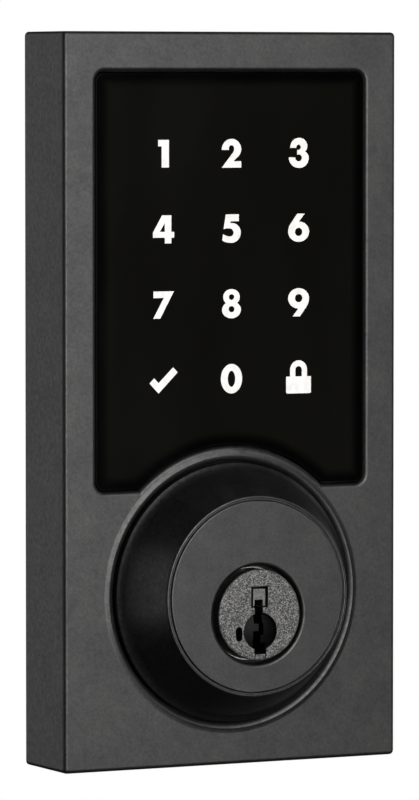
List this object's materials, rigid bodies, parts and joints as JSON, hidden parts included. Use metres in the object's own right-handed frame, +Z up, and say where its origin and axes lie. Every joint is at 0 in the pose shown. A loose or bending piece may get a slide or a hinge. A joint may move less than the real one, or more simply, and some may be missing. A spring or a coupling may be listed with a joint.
{
  "type": "keypad smart lock",
  "caption": "Outdoor half of a touch-keypad deadbolt: slim metal housing with a glossy backlit number pad above a flared collar with a turning key plug.",
  "frame": {"origin": "on the key plug's axis where it crosses the door's face, which the rear gasket rests on", "axes": "+X to the right seen from outdoors, +Y into the door along the key plug's and the bore's axis, +Z up along the housing; the keypad faces -Y"},
  "size_m": [0.066, 0.0807, 0.13],
  "materials": {
    "painted_zinc": "fine satin textured grey paint on die-cast zinc",
    "lens_black": "piano-black gloss with a rounded edge",
    "legend_white": "translucent white, backlit",
    "tape": "foam bonding tape",
    "frame_plastic": "moulded black, fine texture",
    "light_guide_clear": "milky clear acrylic",
    "screw_steel": "zinc plated, cross recess",
    "screw_black": "black oxide, cross recess",
    "circuit_board": "green solder mask",
    "led_white": "phosphor cap",
    "chip_black": "moulded epoxy, tinned legs",
    "connector_white": "moulded nylon",
    "buzzer_black": "moulded case",
    "component_mix": "ceramic and ferrite",
    "collar_satin": "smooth satin grey coat on turned zinc",
    "seal_rubber": "black, matt",
    "hardened_steel": "ground and hardened",
    "blackened_steel": "black oxide, matt, lightly oiled",
    "cylinder_zinc": "as-cast zinc barrel",
    "plate_steel": "zinc plated sheet",
    "cover_plastic": "moulded black, fine texture",
    "ring_plastic": "glass-filled nylon",
    "plug_cast": "grey coated casting with coarse sparkling grain",
    "insert_dark": "polished dark hardened steel",
    "insert_plain": "plain sintered steel",
    "tumbler_brass": "machined, bright",
    "spring_steel": "bright wire",
    "tail_steel": "zinc plated bar"
  },
  "bodies": {
    "housing": {"front_housing": "painted_zinc", "touch_lens": "lens_black", "keypad_symbols": "legend_white", "lens_adhesive": "tape", "keypad_frame": "frame_plastic", "frame_screws": "screw_steel", "light_guide": "light_guide_clear", "touch_board": "circuit_board", "board_screws": "screw_steel", "backlight_leds": "led_white", "control_chip": "chip_black", "board_connector": "connector_white", "buzzer": "buzzer_black", "board_components": "component_mix", "cylinder_collar": "collar_satin", "collar_o_ring": "seal_rubber", "collar_screws": "screw_steel", "drill_plate": "blackened_steel", "cylinder_housing": "cylinder_zinc", "drill_pins": "hardened_steel", "cylinder_screws": "screw_steel", "cylinder_bracket": "plate_steel", "bracket_screws": "screw_steel", "mounting_posts": "plate_steel", "back_plate": "cover_plastic", "back_plate_screws": "screw_black", "perimeter_gasket": "seal_rubber", "cable_grommet": "seal_rubber", "bore_adapter_ring": "ring_plastic", "adapter_screws": "screw_black"},
    "key_plug": {"key_plug": "plug_cast", "keyway_inserts": "insert_dark", "upper_insert": "insert_plain", "sidebar": "hardened_steel", "sidebar_spring": "spring_steel", "chamber_cover": "hardened_steel", "carrier_spring": "spring_steel", "plug_retaining_clip": "spring_steel", "plug_cap": "plate_steel", "cap_screws": "screw_steel", "pin_spring_1": "spring_steel", "pin_spring_2": "spring_steel", "pin_spring_3": "spring_steel", "pin_spring_4": "spring_steel", "pin_spring_5": "spring_steel"},
    "rekey_carrier": {"rekey_carrier": "tumbler_brass"},
    "tailpiece": {"tailpiece": "tail_steel"},
    "key_pin_1": {"key_pin_1": "tumbler_brass"},
    "tumbler_rack_1": {"tumbler_rack_1": "tumbler_brass"},
    "key_pin_2": {"key_pin_2": "tumbler_brass"},
    "tumbler_rack_2": {"tumbler_rack_2": "tumbler_brass"},
    "key_pin_3": {"key_pin_3": "tumbler_brass"},
    "tumbler_rack_3": {"tumbler_rack_3": "tumbler_brass"},
    "key_pin_4": {"key_pin_4": "tumbler_brass"},
    "tumbler_rack_4": {"tumbler_rack_4": "tumbler_brass"},
    "key_pin_5": {"key_pin_5": "tumbler_brass"},
    "tumbler_rack_5": {"tumbler_rack_5": "tumbler_brass"}
  },
  "joints": [
    {"name": "key_plug_turn", "type": "hinge", "parent": "housing", "child": "key_plug", "pos_m": [0, 0, 0], "axis": [0, 1, 0], "range_deg": [-90, 90]},
    {"name": "tailpiece_lost_motion", "type": "hinge", "parent": "key_plug", "child": "tailpiece", "pos_m": [0, 0, 0], "axis": [0, 1, 0], "range_deg": [0, 90]},
    {"name": "rekey_carrier_slide", "type": "slide", "parent": "key_plug", "child": "rekey_carrier", "axis": [0, 1, 0], "range_m": [0, 0.0018], "stiffness_N_per_m": 300, "springref_m": -0.001, "deforming": ["carrier_spring"]},
    {"name": "key_pin_1_lift", "type": "slide", "parent": "key_plug", "child": "key_pin_1", "axis": [0, 0, 1], "range_m": [0, 0.0029], "stiffness_N_per_m": 60, "springref_m": -0.002, "deforming": ["pin_spring_1"]},
    {"name": "key_pin_2_lift", "type": "slide", "parent": "key_plug", "child": "key_pin_2", "axis": [0, 0, 1], "range_m": [0, 0.0029], "stiffness_N_per_m": 60, "springref_m": -0.002, "deforming": ["pin_spring_2"]},
    {"name": "key_pin_3_lift", "type": "slide", "parent": "key_plug", "child": "key_pin_3", "axis": [0, 0, 1], "range_m": [0, 0.0029], "stiffness_N_per_m": 60, "springref_m": -0.002, "deforming": ["pin_spring_3"]},
    {"name": "key_pin_4_lift", "type": "slide", "parent": "key_plug", "child": "key_pin_4", "axis": [0, 0, 1], "range_m": [0, 0.0029], "stiffness_N_per_m": 60, "springref_m": -0.002, "deforming": ["pin_spring_4"]},
    {"name": "key_pin_5_lift", "type": "slide", "parent": "key_plug", "child": "key_pin_5", "axis": [0, 0, 1], "range_m": [0, 0.0029], "stiffness_N_per_m": 60, "springref_m": -0.002, "deforming": ["pin_spring_5"]},
    {"name": "tumbler_rack_1_lift", "type": "slide", "parent": "rekey_carrier", "child": "tumbler_rack_1", "axis": [0, 0, 1], "range_m": [0, 0.0029]},
    {"name": "tumbler_rack_2_lift", "type": "slide", "parent": "rekey_carrier", "child": "tumbler_rack_2", "axis": [0, 0, 1], "range_m": [0, 0.0029]},
    {"name": "tumbler_rack_3_lift", "type": "slide", "parent": "rekey_carrier", "child": "tumbler_rack_3", "axis": [0, 0, 1], "range_m": [0, 0.0029]},
    {"name": "tumbler_rack_4_lift", "type": "slide", "parent": "rekey_carrier", "child": "tumbler_rack_4", "axis": [0, 0, 1], "range_m": [0, 0.0029]},
    {"name": "tumbler_rack_5_lift", "type": "slide", "parent": "rekey_carrier", "child": "tumbler_rack_5", "axis": [0, 0, 1], "range_m": [0, 0.0029]}
  ],
  "couplings": [
    {"joint": "tumbler_rack_1_lift", "follows": "key_pin_1_lift", "ratio": 1},
    {"joint": "tumbler_rack_2_lift", "follows": "key_pin_2_lift", "ratio": 1},
    {"joint": "tumbler_rack_3_lift", "follows": "key_pin_3_lift", "ratio": 1},
    {"joint": "tumbler_rack_4_lift", "follows": "key_pin_4_lift", "ratio": 1},
    {"joint": "tumbler_rack_5_lift", "follows": "key_pin_5_lift", "ratio": 1}
  ]
}
